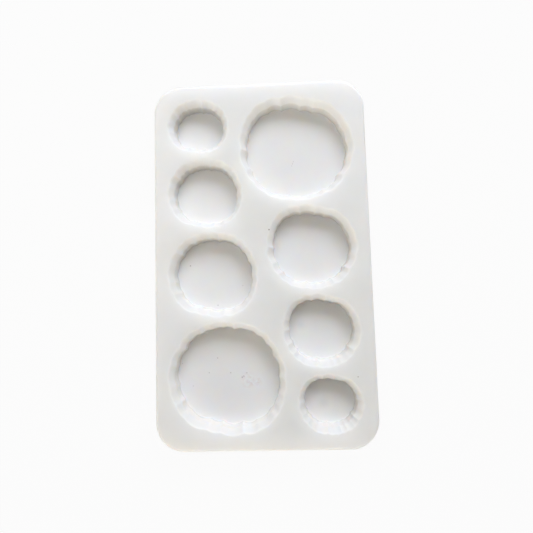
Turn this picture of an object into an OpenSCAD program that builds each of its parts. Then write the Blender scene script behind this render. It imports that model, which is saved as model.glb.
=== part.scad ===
// Silicone casting mould for resin agate slices.
// One soft slab, cast in one pour, with eight shallow cavities in two columns.
// Every cavity is a scaled copy of one wavy slice outline, the smallest a little flatter.
// The left column is the right column turned half a turn about the middle of the slab.
// Millimetres. The origin is under the middle of the slab, on its flat underside.
// +Z is up, out of the cavities, and +Y runs along the slab.

/* [Cavity sizes] */
// Mean diameter of the largest cavity at the open face
slice_a_d = 49.7; // [44:0.1:54]
// Mean diameter of the second cavity at the open face
slice_b_d = 38.6; // [34:0.1:42]
// Mean diameter of the third cavity at the open face
slice_c_d = 32.6; // [29:0.1:36]
// Mean diameter of the smallest cavity at the open face
slice_d_d = 26.9; // [24:0.1:30]
// Length of the smallest cavity along the slab, as a share of its width
slice_d_squat = 0.95; // [0.85:0.01:1]
// Depth of every cavity, from the open face to its floor
cavity_depth = 7.2; // [5:0.1:10]

/* [Cavity walls] */
// Width of the sloping flare round the mouth of a cavity
flare_w = 2.3; // [1:0.1:3]
// Depth at which the flare ends and the steep wall starts
flare_depth = 2.8; // [1:0.1:3.5]
// How far the steep wall leans in on its way down
wall_draft = 0.3; // [0:0.05:0.8]
// Fillet between the steep wall and the floor
floor_fillet = 0.6; // [0.2:0.1:1]
// Height of the waves at the foot of the flare, 1 as on the real slice
wave_share = 1; // [0.2:0.05:1]
// Height of the waves at the open face, as a share of those at the foot of the flare
rim_share = 0.75; // [0.4:0.05:1]

/* [Slab] */
// Silicone left under the cavity floors
floor_t = 2.4; // [1.5:0.1:5]
// Silicone between the mean circles of the largest and second cavities
web_ab = 1; // [0.8:0.1:4]
// Silicone between the mean circles of the second and third cavities
web_bc = 1.2; // [0.8:0.1:4]
// Silicone between the mean circles of the third and smallest cavities
web_cd = 2.1; // [0.8:0.1:4]
// Least silicone between the mean circles of the two columns
column_gap = 4.2; // [2:0.1:10]
// Silicone between a column and the long edge of the slab
side_margin = 6.9; // [5:0.1:12]
// Silicone between a column and the short edge of the slab
end_margin = 6.4; // [5:0.1:12]
// Radius of the slab's four corners, seen from above
corner_r = 12.5; // [5:0.5:16]
// Rounding of the upper edge
top_edge_r = 1.4; // [0.5:0.1:2]
// Rounding of the lower edge
bottom_edge_r = 0.6; // [0.2:0.1:1]

/* [Hidden] */
$fn = 64;

// One row for each ridge that points into the cavity: its angle, its distance from
// the middle, and how far the lobe that follows it swells out past the two ridges.
// Distances are shares of the mean radius at the foot of the flare.
ridges = [
    [8, 1.005, 0.065], [25, 1.005, 0.035], [40, 1.03, 0.045], [66, 0.95, 0.022],
    [81, 0.928, 0.042], [105, 0.97, 0.037], [121, 1.043, 0.027], [140, 1.062, 0.016],
    [150, 1.052, 0.014], [161, 1.03, 0.024], [178, 0.992, 0.037], [202, 0.976, 0.028],
    [219, 0.978, 0.023], [234, 0.98, 0.032], [262, 0.925, 0.024], [276, 0.96, 0.016],
    [289, 0.966, 0.018], [301, 0.977, 0.052], [328, 0.99, 0.024], [348, 1.033, 0.048],
];
// Points along each lobe
lobe_steps = 6;
// How far a cutter stands proud of the open face
clear = 1;

slice_d = [slice_a_d, slice_b_d, slice_c_d, slice_d_d];
squat = [1, 1, 1, slice_d_squat];
web = [web_ab, web_bc, web_cd];
last = len(slice_d) - 1;
slab_t = floor_t + cavity_depth;

// Mean radius of slice i at the open face, across the slab and along it
function reach(i) = slice_d[i] / 2;
function reach_along(i) = reach(i) * squat[i];

// Distance of slice i from the first one, down its column
function drop(i) = i == 0 ? 0 : drop(i - 1) + reach_along(i - 1) + web[i - 1] + reach_along(i);

slab_l = end_margin + reach_along(0) + drop(last) + reach_along(last) + end_margin;

// Place of slice i along the right column
function slice_y(i) = slab_l / 2 - end_margin - reach_along(0) - drop(i);

// Distance across the slab that keeps slice i of one column clear of slice j of the other
function spread(i, j) = let (
    far = reach(i) + reach(j) + column_gap,
    along = slice_y(i) + slice_y(j)
) sqrt(max(0, far * far - along * along));

// The columns stand as close together as their nearest pair allows
slab_w = 2 * side_margin
    + max([for (i = [0 : last], j = [0 : last]) spread(i, j) + reach(i) + reach(j)]);

// Place of slice i across the slab, in the right column
function slice_x(i) = slab_w / 2 - side_margin - reach(i);

// Angle from ridge k to the next one
function lobe_angle(k) = (ridges[(k + 1) % len(ridges)][0] - ridges[k][0] + 360) % 360;

// How far lobe k stands out from a circle of radius 1, at share t of the way to the next ridge
function lobe(k, t) = let (
    here = ridges[k],
    next = ridges[(k + 1) % len(ridges)]
) here[1] + (next[1] - here[1]) * t + here[2] * sin(180 * t) - 1;

// Outline of mean radius r with waves of the given height, pressed flatter along y,
// then moved out by grow, at height z
function wavy_ring(r, flatter, grow, z, waves) = [
    for (k = [0 : len(ridges) - 1], j = [0 : lobe_steps - 1])
        let (
            t = j / lobe_steps,
            a = ridges[k][0] + lobe_angle(k) * t,
            d = r * (1 + waves * lobe(k, t))
        ) [(d + grow) * cos(a), (d * flatter + grow) * sin(a), z]
];

// Section of the cavity wall from the open face down: how far out, how high, how wavy
wall_section = [
    [flare_w, slab_t + clear, wave_share * rim_share],
    [flare_w, slab_t, wave_share * rim_share],
    [0, slab_t - flare_depth, wave_share],
    for (a = [0 : 45 : 90]) [
        -wall_draft - floor_fillet * (1 - cos(a)),
        floor_t + floor_fillet * (1 - sin(a)),
        wave_share,
    ],
];

// The space inside cavity i: the wavy outline lofted down the wall section
module slice_space(i) {
    r = reach(i) - flare_w;
    rings = [for (s = wall_section) wavy_ring(r, squat[i], s[0], s[1], s[2])];
    n = len(rings[0]);
    m = len(rings);
    points = [for (ring = rings) each ring];
    walls = [
        for (row = [0 : m - 2], j = [0 : n - 1])
            let (
                a = row * n + j,
                b = row * n + (j + 1) % n
            ) each [[a, b, b + n], [a, b + n, a + n]]
    ];
    lid = [for (j = [n - 1 : -1 : 0]) j];
    bed = [for (j = [0 : n - 1]) (m - 1) * n + j];
    polyhedron(points, concat(walls, [lid, bed]));
}

// Section of a bar of the slab's thickness, w wide, with both long edges rounded
module edge_section(w) {
    crown_w = w - 2 * top_edge_r;
    base_w = w - 2 * bottom_edge_r;
    translate([-crown_w / 2, 0]) square([crown_w, slab_t]);
    translate([-w / 2, bottom_edge_r]) square([w, slab_t - bottom_edge_r - top_edge_r]);
    translate([-base_w / 2, 0]) square([base_w, bottom_edge_r]);
    for (side = [-1, 1]) {
        translate([side * crown_w / 2, slab_t - top_edge_r]) circle(top_edge_r);
        translate([side * base_w / 2, bottom_edge_r]) circle(bottom_edge_r);
    }
}

// Half of the same section, turned about the corner's own axis
module corner_puck() {
    rotate_extrude() intersection() {
        edge_section(2 * corner_r);
        square([corner_r, slab_t]);
    }
}

// The slab before its cavities: two crossed bars and four round corners
module blank() {
    corner_x = slab_w / 2 - corner_r;
    corner_y = slab_l / 2 - corner_r;
    translate([0, corner_y, 0]) rotate([90, 0, 0]) linear_extrude(2 * corner_y) edge_section(slab_w);
    translate([-corner_x, 0, 0]) rotate([90, 0, 90]) linear_extrude(2 * corner_x) edge_section(slab_l);
    for (x = [-corner_x, corner_x], y = [-corner_y, corner_y]) translate([x, y, 0]) corner_puck();
}

module mould_slab() {
    color([0.93, 0.93, 0.91]) difference() {
        blank();
        for (turn = [0, 180], i = [0 : last])
            rotate([0, 0, turn]) translate([slice_x(i), slice_y(i), 0]) slice_space(i);
    }
}

mould_slab();
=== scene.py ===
# %% [markdown]
# # A silicone mould for resin slices
#
# The object is one soft casting: a flat slab of milky silicone with shallow cavities,
# each with the wavy rim of a stone slice. Resin is poured into a cavity, sets, and is
# pushed out by bending the slab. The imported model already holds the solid. Here the
# same slab gets a finer surface, the finish of silicone, a floor, light and a camera.

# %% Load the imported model
import bmesh
import bpy
import numpy as np
from mathutils import Euler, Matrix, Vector
from mathutils.geometry import delaunay_2d_cdt


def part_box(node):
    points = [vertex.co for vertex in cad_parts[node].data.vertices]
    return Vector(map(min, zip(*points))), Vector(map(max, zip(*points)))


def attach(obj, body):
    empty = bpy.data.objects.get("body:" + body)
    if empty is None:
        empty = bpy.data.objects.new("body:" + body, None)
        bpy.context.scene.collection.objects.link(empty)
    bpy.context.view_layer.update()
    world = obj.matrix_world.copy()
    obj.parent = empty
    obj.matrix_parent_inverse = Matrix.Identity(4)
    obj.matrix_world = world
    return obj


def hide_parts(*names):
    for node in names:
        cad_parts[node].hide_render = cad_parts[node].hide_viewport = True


MM = 0.001
ML = 1e-6
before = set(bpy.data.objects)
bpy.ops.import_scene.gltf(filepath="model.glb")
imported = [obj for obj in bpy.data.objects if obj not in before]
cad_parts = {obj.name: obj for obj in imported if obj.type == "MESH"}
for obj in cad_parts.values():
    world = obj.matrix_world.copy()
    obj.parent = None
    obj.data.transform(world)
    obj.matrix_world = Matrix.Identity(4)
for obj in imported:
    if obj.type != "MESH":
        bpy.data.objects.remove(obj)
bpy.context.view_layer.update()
slab_low, slab_high = (np.array(corner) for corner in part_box("mould_slab"))
slab_w, slab_l, slab_t = slab_high - slab_low
print("slab in mm:", np.round([slab_w / MM, slab_l / MM, slab_t / MM], 2))

# %% [markdown]
# ## Where the cavities lie
#
# Four sizes run down the right column, from the largest at the far end to the smallest
# at the near end. The left column is the same column turned half a turn. Only the
# diameters, the silicone left between them and the margins are written down. The places
# follow from those and from the slab that was just loaded.

# %% Sizes and places of the cavities
SLICE_D = np.array([49.7, 38.6, 32.6, 26.9]) * MM
SLICE_SQUAT = np.array([1, 1, 1, 0.95])
WEB = np.array([1.0, 1.2, 2.1]) * MM
SIDE_MARGIN = 6.9 * MM
END_MARGIN = 6.4 * MM

reach = SLICE_D / 2
reach_along = reach * SLICE_SQUAT
steps_down = reach_along[:-1] + WEB + reach_along[1:]
column_x = slab_w / 2 - SIDE_MARGIN - reach
column_y = slab_l / 2 - END_MARGIN - reach_along[0] - np.append(0, np.cumsum(steps_down))
print("right column in mm:", np.round(np.stack([column_x, column_y], 1) / MM, 2).tolist())

# %% [markdown]
# ## The wavy outline
#
# A cut agate slice has a rim of shallow lobes that meet in ridges. A list of ridges is
# enough to draw it: the angle of each, its distance from the middle, and how far the lobe
# after it swells. A spline through many points would also do, but then nobody could
# tell which number makes which lobe. The points crowd towards the ridges, where the
# outline bends most. At the open face the same ridges are a little rounder.

# %% Outline of one slice
RIDGES = np.array([
    [9, 1.038, 0.02], [27, 1.028, 0.018], [41, 1.035, 0.036], [66, 0.95, 0.022],
    [81, 0.928, 0.042], [105, 0.97, 0.037], [121, 1.043, 0.027], [140, 1.062, 0.016],
    [150, 1.052, 0.014], [161, 1.03, 0.024], [178, 0.992, 0.037], [202, 0.976, 0.028],
    [219, 0.978, 0.023], [234, 0.98, 0.022], [248, 0.97, 0.022], [262, 0.925, 0.024],
    [276, 0.96, 0.016], [289, 0.97, 0.019], [301, 0.984, 0.026], [315, 1.022, 0.026],
    [328, 1.0, 0.03], [348, 1.043, 0.028],
])
LOBE_POINTS = 14
RIDGE_CROWD = 0.55
RIDGE_SOFT = 0.06
RIM_BLUR = 1.5
BLUR_POINTS = 13


def slice_outline():
    """Angle of each point of the outline, and how far it stands out from a circle of radius 1.

    From ridge to ridge the distance runs straight, and the lobe swells past that line by
    half a sine wave. The root of the sine squared plus a small square, less the small
    number, is the same wave with a rounded foot, so that a ridge isn't knife sharp.
    """
    angle, radius, swell = RIDGES.T[:, :, None]
    gap = (np.roll(angle, -1, axis=0) - angle) % 360
    rise = np.roll(radius, -1, axis=0) - radius
    share = np.arange(LOBE_POINTS) / LOBE_POINTS
    t = share - RIDGE_CROWD * np.sin(2 * np.pi * share) / (2 * np.pi)
    wave = np.hypot(np.sin(np.pi * t), RIDGE_SOFT) - RIDGE_SOFT
    wave = wave / (np.hypot(1, RIDGE_SOFT) - RIDGE_SOFT)
    return np.radians(angle + gap * t).ravel(), (radius + rise * t + swell * wave - 1).ravel()


def blurred(angle, waves):
    """The waves averaged over a degree or two to each side, which rounds the ridges."""
    nearby = angle + np.radians(np.linspace(-RIM_BLUR, RIM_BLUR, BLUR_POINTS))[:, None]
    return np.interp(nearby, angle, waves, period=2 * np.pi).mean(axis=0)


outline_angle, foot_waves = slice_outline()
rim_waves = blurred(outline_angle, foot_waves)
outline_dir = np.stack([np.cos(outline_angle), np.sin(outline_angle)], 1)
print("outline points:", len(outline_angle))

# %% [markdown]
# ## Sections
#
# Two sections make the slab. One runs down a cavity: a short flat band on the open face,
# the sloping flare, the steep wall and the fillet into the floor. The other goes round
# the outside of the slab. Silicone copies its master's edges but never holds a razor
# edge, so every corner of a section is replaced by a small arc.

# %% The two sections
CAVITY_DEPTH = 7.2 * MM
FLARE_W = 2.3 * MM
FLARE_DEPTH = 2.8 * MM
WALL_DRAFT = 0.3 * MM
FLOOR_FILLET = 0.6 * MM
RIM_R = 0.8 * MM
FLARE_FOOT_R = 0.22 * MM
FACE_BAND = 0.7 * MM
CORNER_R = 12.5 * MM
TOP_EDGE_R = 1.4 * MM
BOTTOM_EDGE_R = 0.6 * MM
EDGE_BAND = 0.8 * MM
ARC_POINTS = 5


def unit(v):
    """A vector of length 1 along v."""
    return v / np.linalg.norm(v)


def round_corners(corners, radii, points):
    """The same path with an arc at each inner corner, tangent to both legs.

    The arc's middle lies on the corner's bisector, and its spokes turn evenly from one
    tangent point to the other.
    """
    path = [corners[:1]]
    for before, corner, after, radius in zip(corners, corners[1:], corners[2:], radii):
        back = unit(before - corner)
        ahead = unit(after - corner)
        half = np.arccos(back @ ahead) / 2
        middle = corner + unit(back + ahead) * radius / np.sin(half)
        first = corner + back * radius / np.tan(half) - middle
        final = corner + ahead * radius / np.tan(half) - middle
        sweep = np.pi - 2 * half
        share = np.linspace(0, 1, points)[:, None]
        spokes = np.sin((1 - share) * sweep) * first + np.sin(share * sweep) * final
        path.append(middle + spokes / np.sin(sweep))
    path.append(corners[-1:])
    return np.concatenate(path)


floor_z = slab_t - CAVITY_DEPTH
wall_section = round_corners(
    np.array([
        [FLARE_W + FACE_BAND, slab_t],
        [FLARE_W, slab_t],
        [0, slab_t - FLARE_DEPTH],
        [-WALL_DRAFT, floor_z],
        [-WALL_DRAFT - 2 * FLOOR_FILLET, floor_z],
    ]),
    [RIM_R, FLARE_FOOT_R, FLOOR_FILLET],
    ARC_POINTS,
)
edge_section = round_corners(
    np.array([
        [TOP_EDGE_R + EDGE_BAND, slab_t],
        [0, slab_t],
        [0, 0],
        [BOTTOM_EDGE_R + EDGE_BAND, 0],
    ]),
    [TOP_EDGE_R, BOTTOM_EDGE_R],
    2 * ARC_POINTS,
)
print("points down a cavity and round the edge:", len(wall_section), len(edge_section))

# %% [markdown]
# ## Surfaces from the sections
#
# Carrying a section round an outline gives a grid of points, one row for each point of
# the section. Numpy works out the whole grid in one expression. The floors are grids
# too: the last row of the wall, drawn in towards the middle of the cavity.

# %% Carry the sections round
FLOOR_RINGS = 9
RUN_STEP = 2.0 * MM
CORNER_POINTS = 18


def cavity_grid(i, turn):
    """Wall of cavity i: the section carried round the wavy outline.

    point = turn * (middle + mean radius * (1 + waves) * direction + offset * direction), at
    the section's height. The waves change from the foot of the flare to the rim, and turn
    is 1 for the right column and -1 for the left.
    """
    offset = wall_section[:, None, :1]
    up_flare = np.clip(offset / FLARE_W, 0, 1)
    waves = foot_waves[:, None] + up_flare * (rim_waves - foot_waves)[:, None]
    lobes = (reach[i] - FLARE_W) * (1 + waves) * outline_dir * np.array([1, SLICE_SQUAT[i]])
    middle = np.array([column_x[i], column_y[i]])
    flat = turn * (middle + lobes + offset * outline_dir)
    height = np.broadcast_to(wall_section[:, None, 1:], flat.shape[:2] + (1,))
    return np.concatenate([flat, height], axis=2)


def floor_grid(rim):
    """Floor of a cavity: its rim drawn in to its middle in even rings."""
    middle = rim.mean(axis=0)
    share = np.linspace(1, 0, FLOOR_RINGS)[:, None, None]
    return middle + share * (rim - middle)


def edge_grid():
    """Outside of the slab: the edge section carried round a rounded rectangle.

    point = core + outward * (corner radius - inset). Along a corner the core stands
    still and outward turns, and along a straight run outward stands still.
    """
    core_x = slab_w / 2 - CORNER_R
    core_y = slab_l / 2 - CORNER_R
    cores = np.array([[core_x, core_y], [-core_x, core_y], [-core_x, -core_y], [core_x, -core_y]])
    core = []
    turn = []
    for k, here in enumerate(cores):
        there = cores[(k + 1) % len(cores)]
        run = np.linspace(0, 1, int(np.linalg.norm(there - here) / RUN_STEP))[1:-1, None]
        core += [np.repeat(here[None], CORNER_POINTS, axis=0), here + run * (there - here)]
        turn += [np.linspace(0, 1, CORNER_POINTS) + k, np.full(len(run), k + 1.0)]
    core = np.concatenate(core)
    turn = np.concatenate(turn) * np.pi / 2
    outward = np.stack([np.cos(turn), np.sin(turn)], 1)
    flat = core + outward * (CORNER_R - edge_section[:, None, :1])
    height = np.broadcast_to(edge_section[:, None, 1:], flat.shape[:2] + (1,))
    return np.concatenate([flat, height], axis=2)


walls = [cavity_grid(i, turn) for turn in (1, -1) for i in range(len(SLICE_D))]
floors = [floor_grid(wall[-1]) for wall in walls]
edge = edge_grid()
print("grids:", len(walls) + len(floors) + 1, "of up to", walls[0].shape, "points")

# %% [markdown]
# ## The flat faces
#
# The open face is a plane with holes, which no grid fits. A constrained Delaunay
# triangulation fills the space between the outer ring and the rims, and a coarse grid of
# loose points keeps its triangles even. The underside is the same with no holes.

# %% Fill the open face and the underside
FILL_STEP = 3.0 * MM
FILL_CLEAR = 1.2 * MM
INSIDE_ONLY = 1
SEAM = 1e-6


def loose_points(holes):
    """Grid points on the slab that keep clear of its edge and of the holes."""
    half_x = slab_w / 2 - CORNER_R / 2
    half_y = slab_l / 2 - CORNER_R / 2
    x, y = np.meshgrid(np.arange(-half_x, half_x, FILL_STEP), np.arange(-half_y, half_y, FILL_STEP))
    spots = np.stack([x.ravel(), y.ravel()], 1)
    for hole in holes:
        middle = hole.mean(axis=0)
        away = spots - middle
        spoke = hole - middle
        order = np.argsort(np.arctan2(spoke[:, 1], spoke[:, 0]))
        bearing = np.arctan2(spoke[:, 1], spoke[:, 0])[order]
        limit = np.interp(
            np.arctan2(away[:, 1], away[:, 0]), bearing,
            np.linalg.norm(spoke, axis=1)[order], period=2 * np.pi)
        spots = spots[np.linalg.norm(away, axis=1) > limit + FILL_CLEAR]
    return spots


def filled_face(outer, holes, height):
    """Triangles between the outer ring and the holes: their points and corner numbers.

    Each ring goes in as a face. A triangle is kept if the outer ring is the only one of
    those faces that it lies in.
    """
    rings = [outer] + holes
    ends = np.cumsum([len(ring) for ring in rings])
    loops = [list(range(end - len(ring), end)) for ring, end in zip(rings, ends)]
    flat = np.concatenate(rings + [loose_points(holes)])
    _, _, triangles, origins, _, containers = delaunay_2d_cdt(
        [Vector(p) for p in flat.tolist()], [], loops, INSIDE_ONLY, SEAM)
    source = np.array([origin[0] for origin in origins])
    kept = [corners for corners, within in zip(triangles, containers) if list(within) == [0]]
    return np.column_stack([flat, np.full(len(flat), height)]), source[np.array(kept)]


open_face = filled_face(edge[0, :, :2], [wall[0, :, :2] for wall in walls], slab_t)
underside = filled_face(edge[-1, :, :2], [], 0.0)
print("triangles on the open face and the underside:", len(open_face[1]), len(underside[1]))

# %% [markdown]
# ## One closed mesh
#
# Neighbouring surfaces share their border points exactly, so merging points that coincide
# sews them into one closed skin. That matters here: light that goes into silicone and
# wanders about needs an inside. The signed volume tells whether the skin is closed and
# faces outwards.


# %% Sew the surfaces together
def grid_faces(grid):
    """Corner numbers of the four-sided faces of a grid that closes on itself."""
    rows, columns = grid.shape[:2]
    here = np.arange(rows * columns).reshape(rows, columns)
    right = np.roll(here, -1, axis=1)
    return np.stack([here[:-1], here[1:], right[1:], right[:-1]], 2).reshape(-1, 4)


def sewn_mesh(name, grids, faces):
    """Mesh of all the surfaces, with coinciding points merged and normals outwards."""
    points = [grid.reshape(-1, 3) for grid in grids] + [face[0] for face in faces]
    corners = [grid_faces(grid) for grid in grids] + [face[1] for face in faces]
    start = np.cumsum([0] + [len(p) for p in points])
    polygons = []
    for first, block in zip(start, corners):
        polygons += (block + first).tolist()
    mesh = bpy.data.meshes.new(name)
    mesh.from_pydata(np.concatenate(points).tolist(), [], polygons)
    work = bmesh.new()
    work.from_mesh(mesh)
    bmesh.ops.remove_doubles(work, verts=work.verts, dist=SEAM)
    bmesh.ops.dissolve_degenerate(work, edges=work.edges, dist=SEAM)
    bmesh.ops.recalc_face_normals(work, faces=work.faces)
    volume = work.calc_volume(signed=True)
    loose = sum(not side.is_manifold for side in work.edges)
    work.to_mesh(mesh)
    work.free()
    mesh.polygons.foreach_set("use_smooth", np.ones(len(mesh.polygons), bool))
    print(name, "volume in ml:", round(volume / ML, 2), "open sides:", loose)
    return mesh


slab_mesh = sewn_mesh("silicone_slab", walls + floors + [edge], [open_face, underside])
slab = bpy.data.objects.new("silicone_slab", slab_mesh)
bpy.context.scene.collection.objects.link(slab)
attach(slab, "root")
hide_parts("mould_slab")

# %% [markdown]
# ## Shader sums as Python sums
#
# A finish is a formula of place. Wrapping a socket in a small class lets the formula be
# written as one: each operator adds a Math node, and one method adds any other node.


# %% A socket that can be added and multiplied
class Shade:
    """A socket of one node tree. Arithmetic on it returns the socket of a new Math node."""

    def __init__(self, tree, socket=None):
        self.tree = tree
        self.socket = socket

    def node(self, kind, settings, sockets, out=0):
        """Add a node: its type, its settings, then its sockets by name or number."""
        made = self.tree.nodes.new(kind)
        for name, value in settings.items():
            setattr(made, name, value)
        for name, value in sockets.items():
            if isinstance(value, Shade):
                self.tree.links.new(value.socket, made.inputs[name])
            else:
                made.inputs[name].default_value = value
        return Shade(self.tree, made.outputs[out]) if made.outputs else None

    def math(self, operation, first, second=0.0):
        """Add a Math node."""
        return self.node("ShaderNodeMath", {"operation": operation}, {0: first, 1: second})

    def __add__(self, other):
        return self.math("ADD", self, other)

    def __radd__(self, other):
        return self.math("ADD", other, self)

    def __sub__(self, other):
        return self.math("SUBTRACT", self, other)

    def __rsub__(self, other):
        return self.math("SUBTRACT", other, self)

    def __mul__(self, other):
        return self.math("MULTIPLY", self, other)

    def __rmul__(self, other):
        return self.math("MULTIPLY", other, self)

    def smooth(self, low, high):
        """0 below low, 1 above high, and an even curve between them."""
        return self.node(
            "ShaderNodeMapRange", {"interpolation_type": "SMOOTHSTEP"},
            {"Value": self, "From Min": low, "From Max": high})

    def mix(self, first, second):
        """Colour that goes from first to second as this value goes from 0 to 1.

        Sockets 6 and 7 of the node take the two colours, and its output 2 is the mixed one.
        """
        return self.node("ShaderNodeMix", {"data_type": "RGBA"}, {0: self, 6: first, 7: second}, 2)


def new_tree(name):
    """An empty material and its node tree."""
    material = bpy.data.materials.new(name)
    material.use_nodes = True
    material.node_tree.nodes.clear()
    return material, Shade(material.node_tree)


print("shader sums ready")

# %% [markdown]
# ## Milky silicone
#
# Light doesn't stop at the surface of silicone. It goes in, scatters, and comes out some
# way off, and red light travels furthest. Subsurface scattering does this by itself on a
# closed mesh. Cycles shortens the radius for pale colours, so the numbers here are several
# times the real path. The open face and the flares mix a long scatter with a short one:
# the long one alone would blur the edges of the cavities, and the short one alone would
# look like paint. The walls and floors scatter only a little, and the outside of the slab
# is finished like the open face. The one silicone also takes a different tone at each
# height, which paints light and shade into it: the flares a little darker than the open
# face and the walls darker and browner, as painted shade, and the floors near white, as
# painted light. On top there are faint clouds, a satin grain, specks of dust, which
# silicone always draws, soft bluish patches on two floors, of which the one in the
# smallest near cavity is a painted reflection, and a pinkish residue that earlier
# castings left behind.

# %% Finish of the silicone
SILICONE = (0.80, 0.80, 0.79, 1)
CLOUD = (0.78, 0.78, 0.765, 1)
# The flares are a darker copy of the silicone: painted shade.
LIP_PAINTED_SHADE = (0.752, 0.75, 0.745, 1)
# The floors are a near-white copy of the silicone, with its clouds: painted light.
FLOOR_PAINTED_LIGHT = (0.97, 0.97, 0.965, 1)
FLOOR_CLOUD_PAINTED_LIGHT = (0.955, 0.955, 0.95, 1)
# The walls are a darker, browner copy of the silicone: painted shade.
WALL_PAINTED_SHADE = (0.715, 0.705, 0.685, 1)
DUST = (0.16, 0.13, 0.11, 1)
# Soft bluish patches on two floors; the one in the smallest near cavity is a painted reflection.
BLUE_PATCH = (0.56, 0.62, 0.74, 1)
RESIDUE = (0.74, 0.58, 0.53, 1)
# Marks: place across and along the slab and radius, in millimetres, then strength
FACE_DUST = [[3.6, 13.6, 0.5, 0.95], [39.7, -51.3, 0.35, 0.5]]
FLOOR_DUST = [
    [-21.7, -43.1, 0.35, 0.35], [-25.7, -49.6, 0.35, 0.3], [-15.9, -49.8, 0.35, 0.35],
    [-33.0, -55.3, 0.35, 0.2], [-37.8, -45.2, 0.35, 0.2], [-8.6, -50.0, 0.35, 0.35],
    [-33.6, -0.8, 0.4, 0.45], [-21.1, -19.3, 0.35, 0.4], [-9.5, -10.6, 0.35, 0.2],
    [-10.7, -51.9, 0.5, 0.35], [-10.0, -51.4, 0.4, 0.35],
    [15.6, 46.6, 0.35, 0.2], [15.2, 45.6, 0.35, 0.25], [14.8, 44.6, 0.35, 0.2],
]
# Bluish patches: the second row, in the smallest near cavity, is a painted reflection.
FLOOR_BLUE_PATCHES = [[16.2, -28.9, 4.2, 0.40], [25.0, -63.5, 4.8, 0.45]]
FLOOR_RESIDUE = [[-8.0, -53.2, 4.6, 0.6], [-4.0, -54.0, 3.0, 0.5]]
DUST_CORE = 0.5
BLUE_PATCH_CORE = 0.0
RESIDUE_CORE = 0.2
CLOUD_NOISE = {"Scale": 55.0, "Detail": 3.0}
GRAIN_NOISE = {"Scale": 1400.0, "Detail": 2.0}
FLECK_NOISE = {"Scale": 600.0, "Detail": 2.0}
NOISE_BAND = (0.35, 0.75)
GRAIN_BUMP = {"Strength": 0.10, "Distance": 0.03 * MM}
GRAIN_MEAN = 0.5
GRAIN_ROUGH = 0.10
FACE_ROUGH = 0.42
THIN_ROUGH = 0.30
SILICONE_IOR = 1.41
SCATTER_MM = (24.0, 22.4, 20.5)
THIN_SCATTER_MM = (0.8, 0.69, 0.58)
SCATTER_ONWARD = 0.8
LIP_THICK = 0.12
FACE_THICK = 0.75
# Heights across which the wall takes over from the floor, the flare from the wall, and the
# open face from the flare, then the distances from the edge across which the outside ends
WALL_FROM = (floor_z, floor_z + 0.15 * MM)
LIP_FROM = (slab_t - FLARE_DEPTH - 0.3 * MM, slab_t - FLARE_DEPTH + 0.1 * MM)
THICK_FROM = (slab_t - 1.0 * MM, slab_t - 0.05 * MM)
OUTER_BAND = (4.0 * MM, 5.0 * MM)
SCATTER_KIND = "RANDOM_WALK"


def patches(shade, place, rows, level, core):
    """How strongly a place is marked by any of the round patches at this level.

    Each row holds the patch's place and radius in millimetres and its strength. The mark
    is even inside the core, a share of the radius, and fades out at the full radius.
    """
    total = 0.0
    for x, y, radius, strength in rows:
        middle = (x * MM, y * MM, level)
        away = shade.node(
            "ShaderNodeVectorMath", {"operation": "DISTANCE"}, {0: place, 1: middle}, "Value")
        mark = (1 - away.smooth(core * radius * MM, radius * MM)) * strength
        total = shade.math("MAXIMUM", mark, total)
    return total


def outer_side(shade, place):
    """1 close to the outside of the slab, falling to 0 across the outer band.

    The distance from the nearer straight edge is half the slab's size less the place's own
    distance from the middle, the smaller of that across and along the slab.
    """
    insets = []
    for axis, size in (("X", slab_w), ("Y", slab_l)):
        along = shade.node("ShaderNodeSeparateXYZ", {}, {0: place}, axis)
        insets.append(size / 2 - shade.math("ABSOLUTE", along))
    return 1 - shade.math("MINIMUM", *insets).smooth(*OUTER_BAND)


def noise(shade, place, numbers):
    """Noise between 0 and 1, of the scale and detail given."""
    return shade.node("ShaderNodeTexNoise", {}, {"Vector": place, **numbers}, "Fac")


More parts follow.
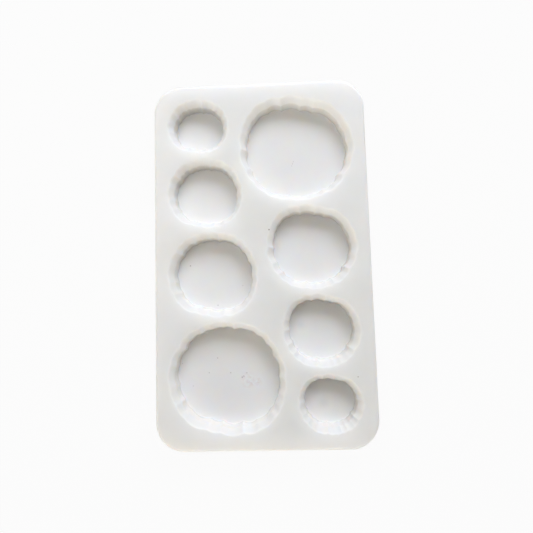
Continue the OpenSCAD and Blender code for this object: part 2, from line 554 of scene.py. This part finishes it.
def silicone():
    """Scattering body, satin face, smoother floors, clouds, dust, residue, bluish patches with one
    painted reflection, painted shade on flares and walls, painted light on floors.
    """
    material, shade = new_tree("milky_silicone")
    place = shade.node("ShaderNodeTexCoord", {}, {}, "Object")
    height = shade.node("ShaderNodeSeparateXYZ", {}, {0: place}, "Z")
    clouded = noise(shade, place, CLOUD_NOISE).smooth(*NOISE_BAND)
    flecked = noise(shade, place, FLECK_NOISE).smooth(*NOISE_BAND)
    grain = noise(shade, place, GRAIN_NOISE)
    bump = shade.node("ShaderNodeBump", {}, {"Height": grain, **GRAIN_BUMP})
    dust = shade.math(
        "MAXIMUM", patches(shade, place, FACE_DUST, slab_t, DUST_CORE),
        patches(shade, place, FLOOR_DUST, floor_z, DUST_CORE))
    # Bluish floor patches, the second of them a painted reflection.
    blue_patch = patches(shade, place, FLOOR_BLUE_PATCHES, floor_z, BLUE_PATCH_CORE)
    residue = patches(shade, place, FLOOR_RESIDUE, floor_z, RESIDUE_CORE) * flecked
    outer = outer_side(shade, place)
    # Height masks for the painted tones: the walls' painted shade takes over from the floors'
    # painted light, the flares' painted shade from the walls', and the open face from the flares'.
    # They also set the scatter.
    wall, lip, flat = (
        shade.math("MAXIMUM", height.smooth(*band), outer)
        for band in (WALL_FROM, LIP_FROM, THICK_FROM))
    # Colour by height: painted shade on the flares, painted light on the floors, painted shade on
    # the walls.
    face_colour_with_painted_shade = flat.mix(LIP_PAINTED_SHADE, clouded.mix(SILICONE, CLOUD))
    floor_colour_with_painted_light = residue.mix(blue_patch.mix(clouded.mix(FLOOR_PAINTED_LIGHT, FLOOR_CLOUD_PAINTED_LIGHT), BLUE_PATCH), RESIDUE)
    thin_colour_with_painted_light_and_shade = wall.mix(floor_colour_with_painted_light, lip.mix(WALL_PAINTED_SHADE, face_colour_with_painted_shade))
    thick, thin = (
        shade.node(
            "ShaderNodeBsdfPrincipled", {"subsurface_method": SCATTER_KIND},
            {
                "Base Color": dust.mix(colour, DUST),
                "Roughness": rough + (grain - GRAIN_MEAN) * GRAIN_ROUGH,
                "Normal": bump,
                "IOR": SILICONE_IOR,
                "Subsurface Weight": 1.0,
                "Subsurface Radius": scatter,
                "Subsurface Scale": MM,
                "Subsurface Anisotropy": SCATTER_ONWARD,
            })
        for colour, rough, scatter in (
            (face_colour_with_painted_shade, FACE_ROUGH, SCATTER_MM), (thin_colour_with_painted_light_and_shade, THIN_ROUGH, THIN_SCATTER_MM)))
    deep = lip * (LIP_THICK + flat * (FACE_THICK - LIP_THICK))
    surface = shade.node("ShaderNodeMixShader", {}, {0: deep, 1: thin, 2: thick})
    shade.node("ShaderNodeOutputMaterial", {}, {"Surface": surface})
    return material


slab_mesh.materials.append(silicone())
print("nodes in the silicone:", len(slab_mesh.materials[0].node_tree.nodes))

# %% [markdown]
# ## Floor and light
#
# The mould lies on a pale table. A broad window stands beyond its far end, a little to the
# right, so the far wall of every cavity is in shade and the near one shines. A pale card
# over the far left corner and pale room walls low on the near side soften the shade. The
# table is shown nearly white to the camera, and still takes the slab's shadow. It lies a
# hair below the slab, because two faces in one plane would show as speckles.

# %% Floor
WHITE = (1, 1, 1, 1)
FLOOR_REACH = 3.0
FLOOR_COLOUR = (0.5, 0.5, 0.5, 1)
FLOOR_WHITE = 0.95
FLOOR_DROP = 0.05 * MM


def seen(shade):
    """1 for rays from the camera, and for those that come by a reflection or through glass."""
    ray = shade.node("ShaderNodeLightPath", {}, {}, "Is Camera Ray")
    outputs = ray.socket.node.outputs
    total = ray
    for name in ("Is Glossy Ray", "Is Transmission Ray"):
        total = total + Shade(shade.tree, outputs[name])
    return shade.math("MINIMUM", total, 1.0)


def pale_floor():
    """A matt pale floor that rays from the camera see as mostly white."""
    material, shade = new_tree("pale_floor")
    matt = shade.node("ShaderNodeBsdfDiffuse", {}, {"Color": FLOOR_COLOUR})
    white = shade.node("ShaderNodeEmission", {}, {"Color": WHITE, "Strength": 1.0})
    mixed = shade.node(
        "ShaderNodeMixShader", {}, {0: seen(shade) * FLOOR_WHITE, 1: matt, 2: white})
    shade.node("ShaderNodeOutputMaterial", {}, {"Surface": mixed})
    return material


floor_mesh = bpy.data.meshes.new("floor")
floor_corners = np.array([[-1, -1, 0], [1, -1, 0], [1, 1, 0], [-1, 1, 0]]) * FLOOR_REACH
floor_corners[:, 2] -= FLOOR_DROP
floor_mesh.from_pydata(floor_corners.tolist(), [], [[0, 1, 2, 3]])
floor_mesh.materials.append(pale_floor())
floor = bpy.data.objects.new("floor", floor_mesh)
bpy.context.scene.collection.objects.link(floor)
print("floor:", 2 * FLOOR_REACH, "m square")

# %% Light
SKY = 0.24
SKY_COLOUR = (1.0, 0.92, 0.78, 1)
HORIZON = 5.4
HORIZON_COLOUR = (1.0, 0.96, 0.905, 1)
HORIZON_TOP = (0.16, 0.30)
HORIZON_GAP = (-0.9, 0.1)
HORIZON_TURN = np.radians(18.0)
WINDOW_SHARE = 0.95
WINDOW_COLOUR = (0.94, 0.985, 1.08)
WINDOW_BEARING = 16.0
WINDOW_HEIGHT = 32.0
WINDOW_AWAY = 1.2
WINDOW_SIZE = (1.2, 0.53)
CARD_SHARE = 0.15
CARD_COLOUR = (1.0, 0.97, 0.93)
CARD_BEARING = -60.0
CARD_HEIGHT = 58.0
CARD_AWAY = 0.28
CARD_SIZE = (0.18, 0.18)


def studio_sky():
    """A faint sky with bright walls low on the near side, white where it is seen directly."""
    world = bpy.data.worlds.new("studio_sky")
    world.use_nodes = True
    world.node_tree.nodes.clear()
    shade = Shade(world.node_tree)
    direct = seen(shade)
    towards = shade.node("ShaderNodeTexCoord", {}, {}, "Generated")
    across = shade.node("ShaderNodeSeparateXYZ", {}, {0: towards}, "X")
    along = shade.node("ShaderNodeSeparateXYZ", {}, {0: towards}, "Y")
    along = across * np.sin(HORIZON_TURN) + along * np.cos(HORIZON_TURN)
    up = shade.node("ShaderNodeSeparateXYZ", {}, {0: towards}, "Z")
    room = (1 - up.smooth(*HORIZON_TOP)) * (1 - along.smooth(*HORIZON_GAP))
    colour = direct.mix(room.mix(SKY_COLOUR, HORIZON_COLOUR), WHITE)
    glow = SKY + room * HORIZON
    strength = glow + direct * (1 - glow)
    sky = shade.node("ShaderNodeBackground", {}, {"Color": colour, "Strength": strength})
    shade.node("ShaderNodeOutputWorld", {}, {"Surface": sky})
    return world


def lamp(name, share, colour, bearing, height, away, size):
    """A broad lamp turned to the middle of the slab, its bearing counted from the far end.

    A lamp of power P at distance d shines P / (pi d)^2 of plain white onto a face turned
    to it, so the power follows from the share of white wanted there.
    """
    light = bpy.data.lights.new(name, "AREA")
    light.shape = "RECTANGLE"
    light.size, light.size_y = size
    light.color = colour
    light.energy = share * (np.pi * away) ** 2
    side, lean = np.radians([bearing, height])
    towards = Vector((np.sin(side) * np.cos(lean), np.cos(side) * np.cos(lean), np.sin(lean)))
    made = bpy.data.objects.new(name, light)
    made.location = towards * away
    made.rotation_mode = "QUATERNION"
    made.rotation_quaternion = towards.to_track_quat("Z", "Y")
    bpy.context.scene.collection.objects.link(made)
    print(name, "power in watts:", round(light.energy, 2))


bpy.context.scene.world = studio_sky()
lamp(
    "window", WINDOW_SHARE, WINDOW_COLOUR, WINDOW_BEARING, WINDOW_HEIGHT, WINDOW_AWAY, WINDOW_SIZE)
lamp("card", CARD_SHARE, CARD_COLOUR, CARD_BEARING, CARD_HEIGHT, CARD_AWAY, CARD_SIZE)
bpy.context.scene.view_settings.view_transform = "Standard"

# %% [markdown]
# ## Camera
#
# The photo was taken from close above, a little off the middle, with a wide lens. That is
# why the far walls show more than the near ones and the slab seems to taper.

# %% Camera
LENS = 26.0
SENSOR = 36.0
CAMERA_OVER_FACE = np.array([8.07, -16.27, 169.10]) * MM
CAMERA_TILT = np.radians([4.495, 2.223, -1.644])

camera_data = bpy.data.cameras.new("camera")
camera_data.lens = LENS
camera_data.sensor_width = SENSOR
camera = bpy.data.objects.new("camera", camera_data)
camera.location = CAMERA_OVER_FACE + np.array([0, 0, slab_t])
camera.rotation_euler = Euler(CAMERA_TILT.tolist(), "XYZ")
bpy.context.scene.collection.objects.link(camera)
bpy.context.scene.camera = camera
print("camera at", [round(v, 4) for v in camera.location])
